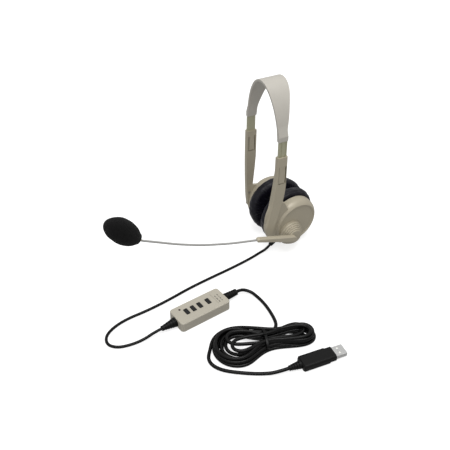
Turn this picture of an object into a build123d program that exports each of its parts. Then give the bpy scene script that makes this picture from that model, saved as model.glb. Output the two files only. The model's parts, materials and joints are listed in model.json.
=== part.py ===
from build123d import *
from math import cos, pi, radians, sin, tan

# A USB office headset: two padded cups on flat arms, a sprung headband that
# slides in both arms, a swivelling microphone boom, and a lead with a
# four-button control box, a tied hank and a USB-A plug.
# Millimetres.  +X is the wearer's left, -Y is forward, +Z is up, and the
# origin is the middle of the head, half way between the ear-pad faces.

# ---------------------------------------------------------------- driving sizes
SURFACE_Z = -33.0            # the surface that the pads rest on and the cord and control box lie on

# cup axis, common to the cushion, the speaker and the cup cover of one side
PAD_FACE_X = 4.0             # centre of the pad face, from the middle plane
CUP_TILT = 4.0               # the cup faces look down by this angle
CUP_YAW = 4.6                # and turn back by this angle
PAD_R = 34.0
PAD_T = 13.8
PAD_SHOULDER = 4.5
PAD_HOLE_R = 12.5
FOAM_RECESS = 3.5
BAFFLE_R = 28.0
BAFFLE_T = 1.4
CUP_R = 29.0
CUP_FACE_R = 24.6
CUP_TOP = 27.8               # height of the cover's rim edge above the pad face
CUP_DISH = 1.3               # how far the cover's face is dished in
CUP_WALL = 1.8
SPEAKER_R = 18.5
BOSS_ORBIT = 21.2
BOSS_ANGLES = (20, 130, 290)

# arms: a flat sleeve in two halves, with a leaf that merges into the cup
ARM_OUT_X = 35.5
ARM_IN_X = 29.5
ARM_SPLIT_X = 32.5
ARM_FRONT_Y = -29.7
ARM_BACK_Y = -18.0
ARM_TOP_Z = 93.0
INNER_SHELL_BOTTOM_Z = 36.0
SLEEVE_MID_Y = (ARM_FRONT_Y + ARM_BACK_Y) / 2
WINDOW = (-4.4, 4.6, 61.0, 82.0)      # opening in the outer face: from, to, low, high
TONGUE_OUT = (-3.9, 3.2, 62.0, 1.6)   # tongue in that opening: from, to, low, thickness
TONGUE_IN = (6.2, 69.0, 86.5, 1.0)    # latch in the inner face: width, low, high, gap

# the microphone side's arm swells forward into a broad leaf, the other stays slim;
# both are drawn from the sleeve down the front, round the tip and up the back
MIC_LEAF = (
    ((-33.2, 46.0), (-39.2, 14.0)),
    ((-40.3, 6.0), (-37.4, -5.0)),
    ((-35.2, -7.4), (-33.2, -4.0)),
    ((-26.3, 19.0), (-20.6, 42.0)),
)
PLAIN_LEAF = (
    ((-29.5, 46.0), (-28.2, 14.0)),
    ((-27.6, 5.0), (-26.2, -5.0)),
    ((-24.6, -7.4), (-23.0, -4.0)),
    ((-21.2, 19.0), (-19.2, 42.0)),
)
# the lobe joins a leaf to the cup, in the cup's plane
MIC_LOBE = ((-37.0, 36.0), (-42.0, 17.0), (-31.0, -12.5), (-18.0, -24.5), (-20.0, 36.0))
PLAIN_LOBE = ((-28.8, 24.0), (-30.2, 12.0), (-27.4, -10.0), (-18.0, -24.5), (-16.0, 22.0))

# slide strips
STRIP_W = 9.8
STRIP_T = 2.0
STRIP_BOTTOM_Z = 57.0
STRIP_FIT = 0.05             # running clearance each side in the sleeve
SLIDE_IN = 17.0              # travel down from the shown setting
SLIDE_OUT = 13.0             # travel up from the shown setting
NOTCH_PITCH = 4.0

# headband
BAND_END_Z = 110.7
BAND_ARCH_Z = 96.0           # centre of the elliptical arch
BAND_CROWN_Z = 164.6
BAND_HALF_X = 32.6
BAND_T = 2.4
BAND_END_W = 10.9
COLLAR_IN_X = 30.3           # the ends thicken into a collar round each strip
COLLAR_OUT_X = 34.0
COLLAR_HIGH_Z = 116.0
COLLAR_FADE_Z = 127.0
COLLAR_FADE_X = (28.0, 30.2)  # within the arch's thickness at that height
STRIP_DEPTH = 4.2            # how far a strip goes up into the band
CROWN_W = 26.0
CROWN_Y = -19.8
BAND_BACK = ((-15.8, 132.0), (-11.8, 148.0))     # edges from the side, (y, z)
BAND_FRONT = ((-31.0, 148.0), (-29.9, 132.0))

# microphone boom
TURRET_AT = (-8.4, -9.6)    # pivot from the cup axis, rearwards and up
TURRET_STEPS = ((14.8, 2.6), (13.5, 2.0), (12.1, 1.8), (10.6, 1.7), (8.9, 1.5))
PIVOT_R = 3.5
PIVOT_FIT = 0.05
SPIGOT_L = 3.4
SEAT_W = 27.9                # height of the flat seat on the cover
BOOM_RISE = 21.5             # the bar points forward and this much up
BAR_LENGTH = 59.7            # from the pivot to the tip
BAR_ROOT = 5.0               # from the pivot to the middle of the bar's round root
BAR_ROOT_R = 3.5
BAR_TIP_R = 2.2
BAR_T = 4.8
WIRE_D = 2.2
WIRE_ROUTE = ((46.5, -90.0, 13.3), (42.0, -122.0, 19.8), (38.4, -148.0, 28.2), (35.6, -168.0, 36.4))
MIC_AXIS = Vector(-0.144, -0.742, 0.655)
MIC_CENTRE = Vector(30.0, -200.0, 57.3)
SCREEN_HALF = 20.8
SCREEN_R = 13.0
MIC_R = 4.2
TAIL_L = 1.0                 # how far the housing stands out behind the windscreen

# control box, on a plane of its own: x runs towards the USB end, z is up
BOX_CENTRE = (81.8, -144.3)
BOX_TURN = 98.0
BOX_L = 58.7
BOX_W = 25.4
BOX_H = 11.2
BOX_SPLIT = 5.6
BOX_WALL = 1.6
BOARD_Z = 3.4
BOARD_T = 1.6
BUTTONS = {
    "volume_down_button": -15.3,
    "volume_up_button": -7.6,
    "mic_mute_button": 0.3,
    "speaker_mute_button": 10.3,
}
BUTTON_Y = 0.8
BUTTON_SIZE = (4.2, 8.0)
BUTTON_GAP = 0.15
BUTTON_TRAVEL = 0.6
BUTTON_PROUD = 0.7
LED_AT = (-20.1, 7.0)
BOOT_L = 16.0
BOOT_ENDS = {-1: (5.0, 2.7), 1: (4.2, 3.5)}   # radius at the box and at the tip
NECK_R = 3.0

# cords
LEAD_D = 3.0                 # headset to control box
USB_D = 3.5                  # control box to plug
GLAND_AT = Vector(25.5, -21.7, -19.7)
GLAND_DIR = Vector(0, -0.72, -0.69).normalized()
GLAND_L = 9.0
HANK_AXIS = 76.4             # direction of the hank's length on the surface
HANK_WAIST = (148.5, -105.0)
PLUG_START = Vector(187.6, -104.2, SURFACE_Z + 4.0)
PLUG_TURN = 85.0
PLUG_BOOT_L = 12.0
PLUG_BODY = (34.5, 16.0, 8.0)
USB_SHELL = (11.8, 12.0, 4.5)
USB_SHELL_T = 0.3

# ---------------------------------------------------------------- planes
CUP_NORMAL = Vector(
    cos(radians(CUP_TILT)) * cos(radians(CUP_YAW)),
    sin(radians(CUP_YAW)),
    -sin(radians(CUP_TILT)),
).normalized()
CUP = Plane(
    origin=(PAD_FACE_X, 0, 0),
    x_dir=Vector(0, 0, 1).cross(CUP_NORMAL).normalized(),
    z_dir=CUP_NORMAL,
)
BOX = Plane(
    origin=(BOX_CENTRE[0], BOX_CENTRE[1], SURFACE_Z),
    x_dir=(cos(radians(BOX_TURN)), sin(radians(BOX_TURN)), 0),
    z_dir=(0, 0, 1),
)
HANK = Plane(
    origin=(HANK_WAIST[0], HANK_WAIST[1], SURFACE_Z),
    x_dir=(cos(radians(HANK_AXIS)), sin(radians(HANK_AXIS)), 0),
    z_dir=(0, 0, 1),
)
PLUG_DIR = Vector(cos(radians(PLUG_TURN)), sin(radians(PLUG_TURN)), 0)
BOOT_Z = BOX_H / 2


# ---------------------------------------------------------------- helpers
def save(name, shape):
    """Write one node as its own STEP file."""
    export_step(shape, f"parts/{name}.step")


def save_pair(name, shape):
    """Write a left-hand piece and its mirror image."""
    save(f"left_{name}", shape)
    save(f"right_{name}", mirror(shape, about=Plane.YZ))


def block(low, high):
    """A box between two corners."""
    low, high = Vector(*low), Vector(*high)
    size = high - low
    return Pos(*low) * Box(size.X, size.Y, size.Z, align=Align.MIN)


def turned(points):
    """A solid of revolution about Z from a closed outline of (radius, height)."""
    return revolve(Plane.XZ * make_face(Polyline(*points, close=True)), Axis.Z)


def disc(radius, low, high, at=(0, 0)):
    """A cylinder between two heights."""
    return Pos(at[0], at[1], low) * Cylinder(
        radius, high - low, align=(Align.CENTER, Align.CENTER, Align.MIN)
    )


def ring(outer, inner, low, high):
    return disc(outer, low, high) - disc(inner, low - 1, high + 1)


def yz_prism(outline, x_low, x_high):
    """An outline drawn in Y and Z, thick along X."""
    return Pos(x_low, 0, 0) * extrude(Plane.YZ * outline, x_high - x_low)


def frame_along(start, direction):
    """A plane whose Z runs along a direction, with X level."""
    side = Vector(0, 0, 1).cross(direction).normalized()
    return Plane(origin=start, x_dir=side, z_dir=direction)


def tube(name, points, diameter):
    """Straight runs joined by the largest tangent arcs that the runs allow."""
    points = [Vector(*p) for p in points]
    runs = [b - a for a, b in zip(points, points[1:])]
    radii = []
    for before, after in zip(runs, runs[1:]):
        half_turn = radians(before.get_angle(after)) / 2
        radii.append(0.45 * min(before.length, after.length) / tan(half_turn))
    path = FilletPolyline(*points, radius=radii)
    start = Plane(origin=points[0], z_dir=runs[0])
    solid = sweep(start * Circle(diameter / 2), path=path)
    section = pi * diameter**2 / 4
    print(
        f"{name}: length {path.length:.0f} mm, tightest radius {min(radii):.1f} mm "
        f"({min(radii) / diameter:.1f} diameters), volume ratio "
        f"{solid.volume / (section * path.length):.3f}"
    )
    return solid


def ribbed_boot(base_r, tip_r, length, ribs):
    """A strain relief from Z = 0 to its tip, with square grooves between ribs."""
    outline = [(0, 0), (base_r, 0)]
    pitch = length / ribs
    for i in range(ribs):
        top = (i + 1) * pitch
        outer = base_r + (tip_r - base_r) * i / (ribs - 1)
        outline += [(outer, i * pitch), (outer, top - 0.35 * pitch)]
        if i < ribs - 1:
            outline += [(outer - 0.7, top - 0.35 * pitch), (outer - 0.7, top)]
    outline += [(tip_r, length), (0, length)]
    clean = [p for i, p in enumerate(outline) if i == 0 or p != outline[i - 1]]
    return turned(clean)


# ---------------------------------------------------------------- cups
def cup_outline(inset):
    """Half section of the cup cover, moved in by a wall thickness."""
    low = PAD_T + BAFFLE_T
    with BuildLine() as line:
        Polyline((0, low), (CUP_R - inset, low), (CUP_R - inset, low + 4))
        ThreePointArc(
            (CUP_R - inset, low + 4),
            (CUP_R - inset - 1.1, low + 8.8 - inset / 2),
            (CUP_FACE_R - inset / 2, CUP_TOP - inset),
        )
        Polyline(
            (CUP_FACE_R - inset / 2, CUP_TOP - inset),
            (CUP_FACE_R - inset / 2 - 2.0, CUP_TOP - CUP_DISH - inset),
            (0, CUP_TOP - CUP_DISH - inset),
            (0, low),
        )
    return revolve(Plane.XZ * make_face(line.line), Axis.Z)


def leaf_outline(leaf):
    """Outer face of an arm: a straight sleeve that ends in a pointed leaf."""
    front, nose, tip, back = leaf
    with BuildLine() as line:
        Polyline((ARM_BACK_Y, 60), (ARM_BACK_Y, ARM_TOP_Z), (ARM_FRONT_Y, ARM_TOP_Z), (ARM_FRONT_Y, 78))
        ThreePointArc((ARM_FRONT_Y, 78), *front)
        ThreePointArc(front[1], *nose)
        ThreePointArc(nose[1], *tip)
        ThreePointArc(tip[1], *back)
        Line(back[1], (ARM_BACK_Y, 60))
    return make_face(line.line)


def lobe_outline(lobe):
    """The part of an arm that wraps the front of the cup, in the cup's plane."""
    top, front, low, foot, back = lobe
    with BuildLine() as line:
        ThreePointArc(top, front, low)
        Polyline(low, foot, (-8, -12), (-10, 18), back, top)
    return make_face(line.line)


def arm_slot():
    """The passage for the slide strip inside an arm."""
    half_w = STRIP_W / 2 + STRIP_FIT
    half_t = STRIP_T / 2 + STRIP_FIT
    bottom = STRIP_BOTTOM_Z - SLIDE_IN - 2
    return block(
        (ARM_SPLIT_X - half_t, SLEEVE_MID_Y - half_w, bottom),
        (ARM_SPLIT_X + half_t, SLEEVE_MID_Y + half_w, ARM_TOP_Z + 1),
    )


def boss_ring(radius, low, high):
    """The three screw bosses behind the speaker."""
    spots = [
        (BOSS_ORBIT * cos(radians(a)), BOSS_ORBIT * sin(radians(a))) for a in BOSS_ANGLES
    ]
    return Compound([disc(radius, low, high, at) for at in spots])


ARM_SCREW_AT = (-27.4, 14.5)  # in the cup's plane, on the inner face of the lobe
ARM_BEVEL = 1.0
LOBE_LOW = 21.5
LOBE_HIGH = 25.4
COVER_LOW = PAD_T + BAFFLE_T


def inner_shell(leaf):
    """Rear half of an arm's sleeve, with its sprung latch tongue."""
    body = yz_prism(leaf_outline(leaf), ARM_IN_X, ARM_SPLIT_X)
    body &= block((0, -50, INNER_SHELL_BOTTOM_Z), (ARM_SPLIT_X, 0, ARM_TOP_Z))
    body -= CUP * cup_outline(0)
    body -= arm_slot()
    width, low, high, gap = TONGUE_IN
    front, back = SLEEVE_MID_Y - width / 2, SLEEVE_MID_Y + width / 2
    slot = block((ARM_IN_X - 1, front - gap, low - gap), (ARM_SPLIT_X - STRIP_T / 2, back + gap, high))
    slot -= block((ARM_IN_X - 1, front, low), (ARM_SPLIT_X, back, high + 1))
    return body - slot


def outer_window():
    """Opening in the outer face of a sleeve, less the tongue that hangs in it."""
    front, back, low, high = WINDOW
    mid = SLEEVE_MID_Y
    opening = block((ARM_SPLIT_X, mid + front, low), (ARM_OUT_X + 1, mid + back, high))
    front, back, low, thickness = TONGUE_OUT
    face = ARM_OUT_X - 0.2
    return opening - block((face - thickness, mid + front, low), (face, mid + back, high + 1))


def outer_shell(leaf, lobe):
    """Front half of an arm, moulded in one with its lobe and the cup cover."""
    outline = leaf_outline(leaf)
    plate = yz_prism(outline, ARM_SPLIT_X, ARM_OUT_X)
    edges = plate.faces().sort_by(Axis.X)[-1].edges().filter_by(GeomType.LINE).filter_by(Axis.Z)
    plate = chamfer(edges, ARM_BEVEL)
    root = yz_prism(outline, ARM_IN_X, ARM_SPLIT_X)
    root &= block((ARM_IN_X, -50, -50), (ARM_SPLIT_X, 0, INNER_SHELL_BOTTOM_Z))
    wrap = extrude(Pos(0, 0, LOBE_LOW) * lobe_outline(lobe), LOBE_HIGH - LOBE_LOW)
    wrap = chamfer(wrap.faces().sort_by(Axis.Z)[-1].edges().sort_by(Axis.X)[:1], 1.8)
    body = plate + root + CUP * (cup_outline(0) + wrap)
    body -= CUP * cup_outline(CUP_WALL)
    body -= arm_slot()
    body -= outer_window()
    bosses = boss_ring(2.1, COVER_LOW + 3, CUP_TOP - 2) - boss_ring(1.0, COVER_LOW, CUP_TOP - 4)
    body += CUP * bosses
    screw_hole = disc(1.0, LOBE_LOW - 1, LOBE_LOW + 3.2, ARM_SCREW_AT)
    screw_hole += disc(1.7, LOBE_LOW - 1, LOBE_LOW + 1.4, ARM_SCREW_AT)
    return body - CUP * screw_hole


def with_boom_seat(shell):
    """The microphone side's cover has a flat seat with the pivot hole in it."""
    seat = disc(TURRET_STEPS[0][0] + 0.2, CUP_TOP - CUP_DISH - 1.0, SEAT_W, TURRET_AT)
    seat &= disc(CUP_FACE_R + 1.5, COVER_LOW, SEAT_W + 1)
    hole = disc(PIVOT_R + PIVOT_FIT, SEAT_W - 4, SEAT_W + 1, TURRET_AT)
    return shell + CUP * seat - CUP * hole


def with_gland_hole(shell):
    gland = frame_along(GLAND_AT, GLAND_DIR)
    return shell - gland * disc(3.0, -6, 12)


def baffle():
    """Plate that closes a cup, carries the speaker and clamps the cushion."""
    body = disc(BAFFLE_R, PAD_T, PAD_T + BAFFLE_T)
    body += ring(CUP_R - CUP_WALL - 0.2, 23.8, PAD_T + BAFFLE_T, PAD_T + BAFFLE_T + 1.6)
    sound_holes = [disc(1.5, PAD_T - 1, PAD_T + 3)]
    for turn in range(6):
        at = (7 * cos(turn * pi / 3), 7 * sin(turn * pi / 3))
        sound_holes.append(disc(1.5, PAD_T - 1, PAD_T + 3, at))
    body -= Compound(sound_holes)
    return body - boss_ring(1.1, PAD_T - 1, PAD_T + 3)


def speaker_frame():
    low = PAD_T + BAFFLE_T
    body = ring(SPEAKER_R, SPEAKER_R - 1.2, low, low + 4.4)
    return body + ring(SPEAKER_R - 0.1, 5.0, low + 3.4, low + 4.4)


def diaphragm():
    low = PAD_T + BAFFLE_T
    rim = SPEAKER_R - 1.3
    front = [(0, low + 2.6), (6, low + 1.6), (rim, low + 0.2)]
    back = [(rim, low + 0.5), (6, low + 1.9), (0, low + 2.9)]
    return turned(front + back)


def magnet():
    low = PAD_T + BAFFLE_T + 4.4
    return disc(8.6, low, low + 3.6) + disc(4.9, low - 1.0, low)


def cushion():
    """Ring cushion with rounded shoulders, pressed flat where it rests on the surface."""
    body = ring(PAD_R, PAD_HOLE_R, 0, PAD_T)
    outer = body.edges().filter_by(GeomType.CIRCLE).sort_by(SortBy.RADIUS)[-2:]
    placed = CUP * fillet(outer, PAD_SHOULDER)
    return placed - block((-PAD_R, -PAD_R, SURFACE_Z - 5), (PAD_R, PAD_R, SURFACE_Z))


def shell_screws():
    low = PAD_T + 0.1
    heads = boss_ring(1.0, low, low + 8)
    arm = disc(1.0, LOBE_LOW + 1.2, LOBE_LOW + 3.1, ARM_SCREW_AT)
    arm += disc(1.6, LOBE_LOW + 0.2, LOBE_LOW + 1.3, ARM_SCREW_AT)
    return CUP * Compound([*heads.solids(), arm])


left_cover = with_gland_hole(with_boom_seat(outer_shell(MIC_LEAF, MIC_LOBE)))
right_cover = mirror(outer_shell(PLAIN_LEAF, PLAIN_LOBE), about=Plane.YZ)
save("left_arm_cover", left_cover)
save("right_arm_cover", right_cover)
save("left_arm_inner_shell", inner_shell(MIC_LEAF))
save("right_arm_inner_shell", mirror(inner_shell(PLAIN_LEAF), about=Plane.YZ))
save_pair("speaker_baffle", CUP * baffle())
save_pair("speaker_frame", CUP * speaker_frame())
save_pair("speaker_diaphragm", CUP * diaphragm())
save_pair("speaker_magnet", CUP * magnet())
save_pair("ear_cushion", cushion())
save_pair("ear_foam_disc", CUP * disc(PAD_HOLE_R - 0.1, FOAM_RECESS, PAD_T))
save_pair("shell_screws", shell_screws())


# ---------------------------------------------------------------- headband
def arch(half_x, half_z):
    """Upper half of an ellipse, as a closed face in X and Z."""
    with BuildLine() as line:
        EllipticalCenterArc((0, BAND_ARCH_Z), half_x, half_z, start_angle=0, arc_size=180)
        Line((-half_x, BAND_ARCH_Z), (half_x, BAND_ARCH_Z))
    return make_face(line.line)


def band_side_outline():
    """The headband from the side: narrow at its ends and broad at the crown."""
    front, back = SLEEVE_MID_Y - BAND_END_W / 2, SLEEVE_MID_Y + BAND_END_W / 2
    crown_front, crown_back = CROWN_Y - CROWN_W / 2, CROWN_Y + CROWN_W / 2
    top = BAND_CROWN_Z + 3
    with BuildLine() as line:
        Polyline((front, COLLAR_HIGH_Z), (front, BAND_END_Z), (back, BAND_END_Z), (back, COLLAR_HIGH_Z))
        Spline((back, COLLAR_HIGH_Z), *BAND_BACK, (crown_back, top), tangents=((0, 1), (0.1, 1)))
        Line((crown_back, top), (crown_front, top))
        Spline((crown_front, top), *BAND_FRONT, (front, COLLAR_HIGH_Z), tangents=((0.1, -1), (0, -1)))
    return make_face(line.line)


def strip():
    """Flat strip with two grooves outside and latch notches inside."""
    inner, outer = ARM_SPLIT_X - STRIP_T / 2, ARM_SPLIT_X + STRIP_T / 2
    front, back = SLEEVE_MID_Y - STRIP_W / 2, SLEEVE_MID_Y + STRIP_W / 2
    body = block((inner, front, STRIP_BOTTOM_Z), (outer, back, BAND_END_Z + STRIP_DEPTH))
    for y in (SLEEVE_MID_Y - 2.6, SLEEVE_MID_Y + 2.6):
        body -= block((outer - 0.5, y - 1.3, STRIP_BOTTOM_Z + 2), (outer + 1, y + 1.3, BAND_END_Z - 1))
    notches = int((SLIDE_IN + SLIDE_OUT) / NOTCH_PITCH)
    for i in range(notches):
        z = TONGUE_IN[1] + 2 - SLIDE_OUT + i * NOTCH_PITCH
        body -= block((inner - 1, SLEEVE_MID_Y - 2, z - 0.6), (inner + 0.5, SLEEVE_MID_Y + 2, z + 0.6))
    return body


def collar():
    """Left end of the headband, thick enough to hold a strip, faired into the arch."""
    with BuildLine() as line:
        Polyline((COLLAR_IN_X, BAND_END_Z), (COLLAR_OUT_X, BAND_END_Z), (COLLAR_OUT_X, COLLAR_HIGH_Z),
                 (COLLAR_FADE_X[1], COLLAR_FADE_Z), (COLLAR_FADE_X[0], COLLAR_FADE_Z), close=True)
    front, back = SLEEVE_MID_Y - BAND_END_W / 2, SLEEVE_MID_Y + BAND_END_W / 2
    body = extrude(Plane.XZ * make_face(line.line), 60)
    body &= block((0, front, BAND_END_Z), (60, back, COLLAR_FADE_Z))
    body = fillet(body.faces().sort_by(Axis.Z)[0].edges(), 0.5)
    pocket = block((ARM_SPLIT_X - STRIP_T / 2, SLEEVE_MID_Y - STRIP_W / 2, BAND_END_Z - 1),
                   (ARM_SPLIT_X + STRIP_T / 2, SLEEVE_MID_Y + STRIP_W / 2, BAND_END_Z + STRIP_DEPTH))
    return body, pocket + pin_at_band_end()


def headband():
    rise = BAND_CROWN_Z - BAND_ARCH_Z
    half = BAND_T / 2
    section = arch(BAND_HALF_X + half, rise + half) - arch(BAND_HALF_X - half, rise - half)
    body = extrude(Plane.XZ * section, 60)
    body &= yz_prism(band_side_outline(), -60, 60)
    end, hollow = collar()
    body = body + end + mirror(end, about=Plane.YZ)
    return body - hollow - mirror(hollow, about=Plane.YZ)


def pin_at_band_end():
    """A blind pin from the inner face that holds a strip in the band."""
    place = Plane(origin=(COLLAR_IN_X, SLEEVE_MID_Y, BAND_END_Z + STRIP_DEPTH / 2), z_dir=(1, 0, 0))
    return place * disc(1.1, 0, COLLAR_OUT_X - COLLAR_IN_X - 1.1)


save("headband", headband())
save_pair("slide_strip", strip() - pin_at_band_end())
pins = pin_at_band_end()
save("strip_pins", Compound([pins, mirror(pins, about=Plane.YZ)]))

# ---------------------------------------------------------------- microphone boom
TURRET = CUP * Pos(TURRET_AT[0], TURRET_AT[1], SEAT_W + 0.1)
TURRET_H = sum(height for _, height in TURRET_STEPS)
BAR_DIR = (-cos(radians(BOOM_RISE)), sin(radians(BOOM_RISE)))


def turret():
    """Stepped dome on a short spigot that turns in the cover."""
    outline = [(0, 0), (TURRET_STEPS[0][0], 0)]
    height = 0
    for radius, step in TURRET_STEPS:
        outline += [(radius, height), (radius, height + step * 0.6), (radius - 0.6, height + step)]
        height += step
    outline += [(0, height)]
    clean = [p for i, p in enumerate(outline) if i == 0 or p != outline[i - 1]]
    body = turned(clean) + disc(PIVOT_R, -SPIGOT_L, 0)
    return body - disc(1.4, -SPIGOT_L - 1, 5)


def boom_bar():
    """Tapered bar across the turret that holds the boom wire."""
    end = BAR_LENGTH - BAR_TIP_R
    middle = make_face(Polyline((BAR_ROOT, BAR_ROOT_R), (BAR_ROOT, -BAR_ROOT_R), (end, -BAR_TIP_R),
                                (end, BAR_TIP_R), close=True))
    bar = extrude(Pos(BAR_ROOT, 0) * Circle(BAR_ROOT_R) + middle + Pos(end, 0) * Circle(BAR_TIP_R), BAR_T)
    bar = fillet(bar.faces().sort_by(Axis.Z)[-1].edges(), 1.2)
    return Pos(0, 0, TURRET_H) * Rot(0, 0, 180 - BOOM_RISE) * bar


def to_world(placement, point):
    return (placement * Pos(*point)).position


def bar_point(reach):
    """A point on the bar's middle line, this far from the pivot."""
    return to_world(TURRET, (BAR_DIR[0] * reach, BAR_DIR[1] * reach, TURRET_H + BAR_T / 2))


BAR_TIP = bar_point(BAR_LENGTH)
BAR_CORE = bar_point(BAR_LENGTH - 14)
MIC_AXIS = MIC_AXIS.normalized()
MIC_TAIL = MIC_CENTRE - MIC_AXIS * (SCREEN_HALF + TAIL_L)
MIC = frame_along(MIC_TAIL, MIC_AXIS)
MIC_L = SCREEN_HALF + 11

wire_ends = (MIC_TAIL - MIC_AXIS * 1.5, MIC_TAIL + MIC_AXIS * 3.5)
wire = tube("boom wire", [BAR_CORE, BAR_TIP, *WIRE_ROUTE, *wire_ends], WIRE_D)
housing = turned([(0, 0), (1.8, 0), (MIC_R, 5), (MIC_R, MIC_L), (0, MIC_L)])
housing -= disc(3.1, MIC_L - 5.2, MIC_L + 1)
with BuildLine() as screen_line:
    EllipticalCenterArc((0, SCREEN_HALF + TAIL_L), SCREEN_R, SCREEN_HALF, start_angle=-90, arc_size=180)
    Line((0, 2 * SCREEN_HALF + TAIL_L), (0, TAIL_L))
windscreen = revolve(Plane.XZ * make_face(screen_line.line), Axis.Z) - disc(MIC_R + 0.02, -1, MIC_L + 0.1)

save("boom_turret", TURRET * turret())
save("boom_bar", TURRET * boom_bar() - wire)
save("boom_wire", wire)
WASHER_LOW = -SPIGOT_L - 1.0
save("boom_pivot_washer", TURRET * (disc(4.8, WASHER_LOW, -SPIGOT_L) - disc(1.4, WASHER_LOW - 1, 0)))
save("boom_pivot_screw", TURRET * (disc(2.8, WASHER_LOW - 1.5, WASHER_LOW) + disc(1.4, WASHER_LOW, 5)))
save("mic_housing", MIC * housing - wire)
save("mic_capsule", MIC * disc(3.1, MIC_L - 5.2, MIC_L))
save("mic_windscreen", MIC * windscreen)


# ---------------------------------------------------------------- control box
def case_form(low, high, inset):
    """Rounded box between two heights, moved in by a wall thickness."""
    outline = RectangleRounded(BOX_L - 2 * inset, BOX_W - 2 * inset, 3.5 - inset)
    return Pos(0, 0, low) * extrude(outline, high - low)


def boot_axis(end):
    """Plane at one end of the box, with Z out of the box; end is -1 or 1."""
    return Plane(origin=(end * BOX_L / 2, 0, BOOT_Z), x_dir=(0, 1, 0), z_dir=(end, 0, 0))


def boot_passages():
    bore = disc(NECK_R, -BOX_WALL - 1, 1)
    return [boot_axis(end) * bore for end in (-1, 1)]


def case_boot(end):
    base_r, tip_r = BOOT_ENDS[end]
    body = ribbed_boot(base_r, tip_r, BOOT_L, 6)
    body += disc(NECK_R, -BOX_WALL, 0) + disc(4.0, -BOX_WALL - 1.4, -BOX_WALL)
    return BOX * (boot_axis(end) * body)


CASE_SCREW_SPOTS = ((-24.5, -8.2), (24.5, 8.2))


def case_base():
    body = case_form(0, BOX_SPLIT, 0) - case_form(BOX_WALL, BOX_SPLIT + 1, BOX_WALL)
    body = chamfer(body.faces().sort_by(Axis.Z)[0].edges(), 0.8)
    for at in CASE_SCREW_SPOTS:
        body += disc(2.6, 0.4, BOX_SPLIT, at)
        body -= disc(1.1, -1, BOX_SPLIT + 1, at) + disc(2.0, -1, 1.4, at)
    for bore in boot_passages():
        body -= bore
    return body


def case_top():
    body = case_form(BOX_SPLIT, BOX_H, 0)
    body = fillet(body.faces().sort_by(Axis.Z)[-1].edges(), 1.0)
    body -= case_form(BOX_SPLIT - 1, BOX_H - BOX_WALL, BOX_WALL)
    for at in CASE_SCREW_SPOTS:
        body += disc(2.6, BOX_SPLIT, BOX_H - 0.8, at)
        body -= disc(0.9, BOX_SPLIT - 1, BOX_H - 1.6, at)
    for x in BUTTONS.values():
        size = [side + 2 * BUTTON_GAP for side in BUTTON_SIZE]
        hole = Pos(x, BUTTON_Y, BOX_SPLIT) * extrude(RectangleRounded(*size, 0.9), BOX_H)
        body -= hole
    body -= disc(1.2, BOX_SPLIT, BOX_H + 1, LED_AT)
    body -= block((17.1, -8.0, BOX_H - 0.3), (17.7, 8.6, BOX_H + 1))
    for bore in boot_passages():
        body -= bore
    return body


def board():
    body = Pos(0, 0, BOARD_Z) * Box(44, 20, BOARD_T, align=(Align.CENTER, Align.CENTER, Align.MIN))
    for at in CASE_SCREW_SPOTS:
        body -= disc(3.2, BOARD_Z - 1, BOARD_Z + 3, at)
    return body


BUTTON_LOW = BOX_H - BOX_WALL - 1.4
SWITCH_TOP = BUTTON_LOW - BUTTON_TRAVEL - 0.1


def button(x):
    cap = extrude(RectangleRounded(*BUTTON_SIZE, 0.8), BOX_H + BUTTON_PROUD - BUTTON_LOW)
    cap = fillet(cap.faces().sort_by(Axis.Z)[-1].edges(), 0.5)
    flange = Box(BUTTON_SIZE[0] + 1.4, BUTTON_SIZE[1] + 1.4, 1.3,
                 align=(Align.CENTER, Align.CENTER, Align.MIN))
    return Pos(x, BUTTON_Y, BUTTON_LOW) * (cap + flange)


def switches():
    low = BOARD_Z + BOARD_T
    made = []
    for x in BUTTONS.values():
        can = block((x - 2.2, BUTTON_Y - 3, low), (x + 2.2, BUTTON_Y + 3, SWITCH_TOP - 0.5))
        made.append(can + disc(1.2, low, SWITCH_TOP, (x, BUTTON_Y)))
    return Compound(made)


def case_screws():
    made = [disc(0.9, 1.2, BOX_H - 1.8, at) + disc(1.9, 0.3, 1.3, at) for at in CASE_SCREW_SPOTS]
    return Compound(made)


save("control_case_base", BOX * case_base())
save("control_case_top", BOX * case_top())
save("control_board", BOX * board())
save("audio_chip", BOX * block((14.5, -7, BOARD_Z + BOARD_T), (20.5, -1, BOARD_Z + BOARD_T + 1)))
save("push_switches", BOX * switches())
save("status_light", BOX * disc(1.15, BOARD_Z + BOARD_T, BOX_H + 0.1, LED_AT))
save("control_case_screws", BOX * case_screws())
for name, x in BUTTONS.items():
    save(name, BOX * button(x))
save("control_boot_headset_end", case_boot(-1))
save("control_boot_usb_end", case_boot(1))

# ---------------------------------------------------------------- cords
GLAND = frame_along(GLAND_AT, GLAND_DIR)
GLAND_TIP = GLAND_AT + GLAND_DIR * GLAND_L
gland = turned([(0, -5), (3.0, -5), (3.0, 3.0), (2.4, GLAND_L), (0, GLAND_L)])


def boot_out(end, distance):
    """A point on a boot's axis, beyond its tip."""
    return to_world(BOX * boot_axis(end), (0, 0, BOOT_L + distance))


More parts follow.
